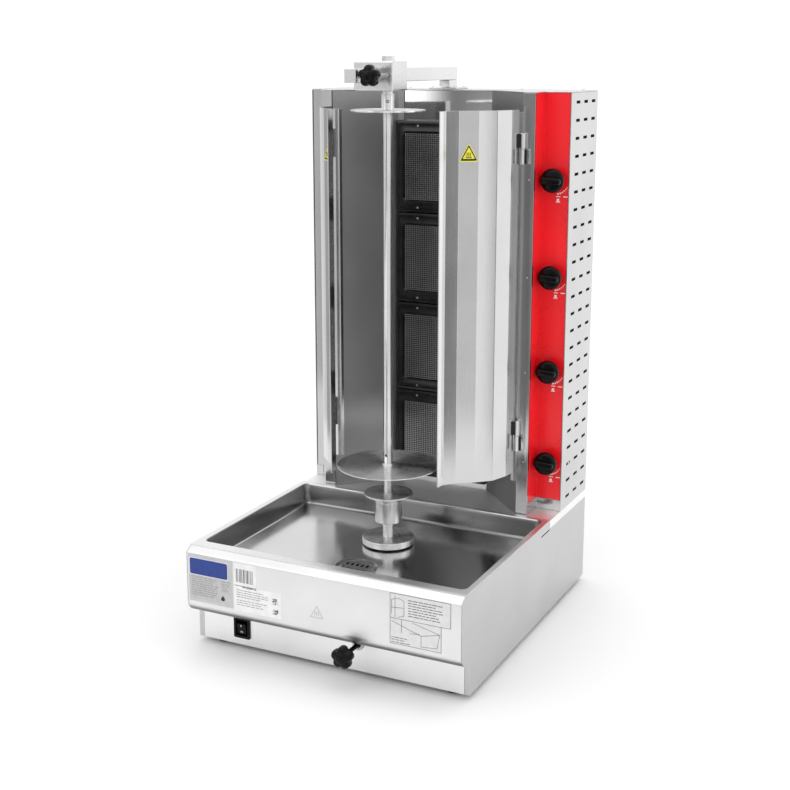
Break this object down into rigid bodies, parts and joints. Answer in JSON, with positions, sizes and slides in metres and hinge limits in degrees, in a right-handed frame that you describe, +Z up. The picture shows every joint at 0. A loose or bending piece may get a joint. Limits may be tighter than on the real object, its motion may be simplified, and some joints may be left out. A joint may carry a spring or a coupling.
{
  "type": "rotisserie oven",
  "caption": "Upright gas rotisserie grill: turning vertical spit with meat plates, folding heat-shield doors, stacked burners, tap knobs and drip tray on a boxed base.",
  "frame": {"origin": "bottom centre of the bounding box, on the floor under the feet", "axes": "+Z up along the spit; -Y is the front, where the tray's apron is; +X is the side with the tap knobs"},
  "size_m": [0.54, 0.679, 1.055],
  "materials": {
    "steel": "satin brushed",
    "polished": "bright polished",
    "red": "printed red film on the steel",
    "black": "satin moulded",
    "rubber": "matt",
    "enamel": "black heat-proof enamel",
    "plaque": "ceramic behind a wire mesh, matt",
    "zinc": "zinc plated",
    "brass": "machined",
    "casting": "painted casting"
  },
  "bodies": {
    "body": {"base_floor": "zinc", "base_side_left": "steel", "base_side_right": "steel", "base_front_panel": "steel", "base_back_panel": "steel", "rear_deck": "steel", "foot_front_left": "rubber", "foot_front_right": "rubber", "foot_rear_left": "rubber", "foot_rear_right": "rubber", "drip_tray": "polished", "drain_grate": "polished", "switch_bezel": "black", "top_bar": "steel", "bar_bracket": "steel", "tower_side_left": "steel", "tower_side_right": "steel", "tower_back": "steel", "top_cover": "steel", "column_left": "steel", "post_right": "steel", "control_panel": "red", "reflector_left": "polished", "reflector_right": "polished", "reflector_rear": "polished", "gas_manifold": "brass", "cable_gland": "black", "burner_1": "enamel", "burner_plaque_1": "plaque", "burner_2": "enamel", "burner_plaque_2": "plaque", "burner_3": "enamel", "burner_plaque_3": "plaque", "burner_4": "enamel", "burner_plaque_4": "plaque"},
    "carriage": {"carriage_plate": "zinc", "gearbox": "casting", "drive_motor": "zinc"},
    "lock_screw": {"lock_rod": "zinc", "lock_knob": "black"},
    "spit": {"drive_flange": "polished", "coupling_cup": "polished", "drip_cap": "polished", "spit_shaft": "polished", "lower_meat_plate": "polished"},
    "upper_plate": {"upper_meat_plate": "polished"},
    "top_clamp": {"clamp_block": "polished"},
    "clamp_screw": {"clamp_stud": "zinc", "clamp_knob": "black"},
    "left_door": {"door_left": "polished"},
    "right_door": {"door_right": "polished"},
    "power_rocker": {"switch_rocker": "black"},
    "tap_1": {"knob_spindle_1": "brass"},
    "knob_1": {"control_knob_1": "black"},
    "tap_2": {"knob_spindle_2": "brass"},
    "knob_2": {"control_knob_2": "black"},
    "tap_3": {"knob_spindle_3": "brass"},
    "knob_3": {"control_knob_3": "black"},
    "tap_4": {"knob_spindle_4": "brass"},
    "knob_4": {"control_knob_4": "black"}
  },
  "joints": [
    {"name": "carriage_slide", "type": "slide", "parent": "body", "child": "carriage", "axis": [0, 1, 0], "range_m": [-0.015, 0.015]},
    {"name": "lock_screw_turn", "type": "hinge", "parent": "carriage", "child": "lock_screw", "pos_m": [0.06, -0.3395, 0.06], "axis": [0, -1, 0], "continuous": true},
    {"name": "spit_turn", "type": "hinge", "parent": "carriage", "child": "spit", "pos_m": [0, -0.0355, 0.167], "axis": [0, 0, 1], "continuous": true},
    {"name": "upper_plate_slide", "type": "slide", "parent": "spit", "child": "upper_plate", "axis": [0, 0, 1], "range_m": [-0.62, 0]},
    {"name": "top_clamp_slide", "type": "slide", "parent": "body", "child": "top_clamp", "axis": [0, 1, 0], "range_m": [-0.015, 0.015]},
    {"name": "clamp_screw_turn", "type": "hinge", "parent": "top_clamp", "child": "clamp_screw", "pos_m": [0.0185, -0.1515, 1.022], "axis": [0, -1, 0], "continuous": true},
    {"name": "left_door_swing", "type": "hinge", "parent": "body", "child": "left_door", "pos_m": [-0.199, 0.111, 0.62], "axis": [0, 0, 1], "range_deg": [-105, 5]},
    {"name": "right_door_swing", "type": "hinge", "parent": "body", "child": "right_door", "pos_m": [0.199, 0.111, 0.62], "axis": [0, 0, 1], "range_deg": [-1, 110]},
    {"name": "power_rocker_tilt", "type": "hinge", "parent": "body", "child": "power_rocker", "pos_m": [-0.1775, -0.2665, 0.043], "axis": [1, 0, 0], "range_deg": [-16, 0]},
    {"name": "tap_1_turn", "type": "hinge", "parent": "body", "child": "tap_1", "pos_m": [0.2426, 0.1705, 0.832], "axis": [0, -1, 0], "range_deg": [0, 180]},
    {"name": "knob_1_push", "type": "slide", "parent": "tap_1", "child": "knob_1", "axis": [0, 1, 0], "range_m": [0, 0.003], "stiffness_N_per_m": 900},
    {"name": "tap_2_turn", "type": "hinge", "parent": "body", "child": "tap_2", "pos_m": [0.2426, 0.1705, 0.652], "axis": [0, -1, 0], "range_deg": [0, 180]},
    {"name": "knob_2_push", "type": "slide", "parent": "tap_2", "child": "knob_2", "axis": [0, 1, 0], "range_m": [0, 0.003], "stiffness_N_per_m": 900},
    {"name": "tap_3_turn", "type": "hinge", "parent": "body", "child": "tap_3", "pos_m": [0.2426, 0.1705, 0.472], "axis": [0, -1, 0], "range_deg": [0, 180]},
    {"name": "knob_3_push", "type": "slide", "parent": "tap_3", "child": "knob_3", "axis": [0, 1, 0], "range_m": [0, 0.003], "stiffness_N_per_m": 900},
    {"name": "tap_4_turn", "type": "hinge", "parent": "body", "child": "tap_4", "pos_m": [0.2426, 0.1705, 0.292], "axis": [0, -1, 0], "range_deg": [0, 180]},
    {"name": "knob_4_push", "type": "slide", "parent": "tap_4", "child": "knob_4", "axis": [0, 1, 0], "range_m": [0, 0.003], "stiffness_N_per_m": 900}
  ],
  "couplings": [
    {"joint": "top_clamp_slide", "follows": "carriage_slide", "ratio": 1}
  ]
}
